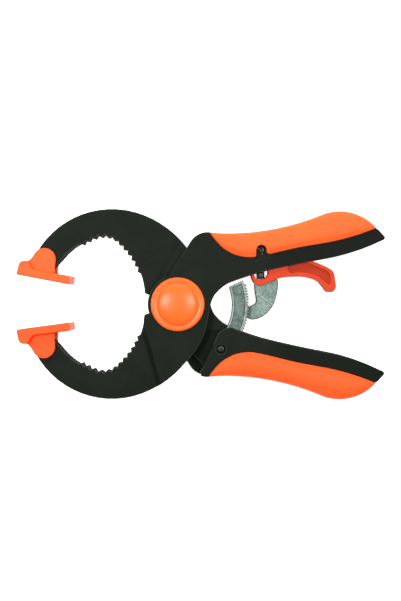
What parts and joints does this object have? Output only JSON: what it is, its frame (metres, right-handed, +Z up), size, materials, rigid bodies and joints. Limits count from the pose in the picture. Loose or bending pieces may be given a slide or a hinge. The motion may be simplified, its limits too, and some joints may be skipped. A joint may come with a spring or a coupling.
{
  "type": "ratchet spring clamp",
  "caption": "Plastic hand clamp with toothed round jaws, swivelling pads, cushioned handles, and a metal ratchet held by a pawl with a finger lever.",
  "frame": {"origin": "centre of the rear cap's flat face, on the pivot axis", "axes": "+Z up along the pivot axis with the clamp lying on its rear face, +X from the pivot towards the handles, +Y towards the handle that carries the release lever"},
  "size_m": [0.219, 0.114, 0.026],
  "materials": {
    "black_nylon": "finely textured glass-filled nylon",
    "orange_grip": "smooth soft moulded rubber",
    "orange_gloss": "smooth moulded plastic",
    "orange_pad": "satin moulded plastic",
    "orange_lever": "smooth moulded plastic",
    "cast_zinc": "grey die-cast surface",
    "black_steel": "blackened steel",
    "plated_steel": "plated steel"
  },
  "bodies": {
    "rear_arm": {"rear_arm": "black_nylon", "lower_grip": "orange_grip", "ratchet_rack": "cast_zinc", "rack_screw": "black_steel", "rack_nut": "plated_steel", "rear_cap": "orange_gloss", "rear_washer": "plated_steel", "pivot_bolt": "plated_steel", "pivot_nut": "plated_steel", "pivot_sleeve": "plated_steel", "main_spring": "plated_steel"},
    "front_arm": {"front_arm": "black_nylon", "upper_grip": "orange_grip", "front_cap": "orange_gloss", "front_washer": "plated_steel", "latch_pin": "black_steel", "latch_spring": "plated_steel"},
    "pawl": {"pawl": "cast_zinc", "pawl_pin": "plated_steel"},
    "release_lever": {"release_lever": "orange_lever"},
    "upper_pad": {"upper_pad": "orange_pad"},
    "lower_pad": {"lower_pad": "orange_pad"}
  },
  "joints": [
    {"name": "jaw_pivot", "type": "hinge", "parent": "rear_arm", "child": "front_arm", "pos_m": [0, 0, 0.013], "axis": [0, 0, -1], "range_deg": [-9.6, 19.2], "stiffness_Nm_per_rad": 0.8, "springref_deg": -41.83, "deforming": ["main_spring"]},
    {"name": "pawl_pivot", "type": "hinge", "parent": "front_arm", "child": "pawl", "pos_m": [0.0496, 0.0326, 0.013], "axis": [0, 0, 1], "range_deg": [0, 6], "stiffness_Nm_per_rad": 0.02, "springref_deg": -28.65, "deforming": ["latch_spring"]},
    {"name": "lever_pivot", "type": "hinge", "parent": "pawl", "child": "release_lever", "pos_m": [0.0496, 0.0326, 0.013], "axis": [0, 0, 1], "range_deg": [0, 6.5], "stiffness_Nm_per_rad": 0.01, "springref_deg": -17.19},
    {"name": "upper_pad_swivel", "type": "hinge", "parent": "rear_arm", "child": "upper_pad", "pos_m": [-0.0792, 0.0267, 0.013], "axis": [0, 0, 1], "range_deg": [-10, 10]},
    {"name": "lower_pad_swivel", "type": "hinge", "parent": "front_arm", "child": "lower_pad", "pos_m": [-0.0792, -0.0267, 0.013], "axis": [0, 0, 1], "range_deg": [-10, 10]}
  ]
}
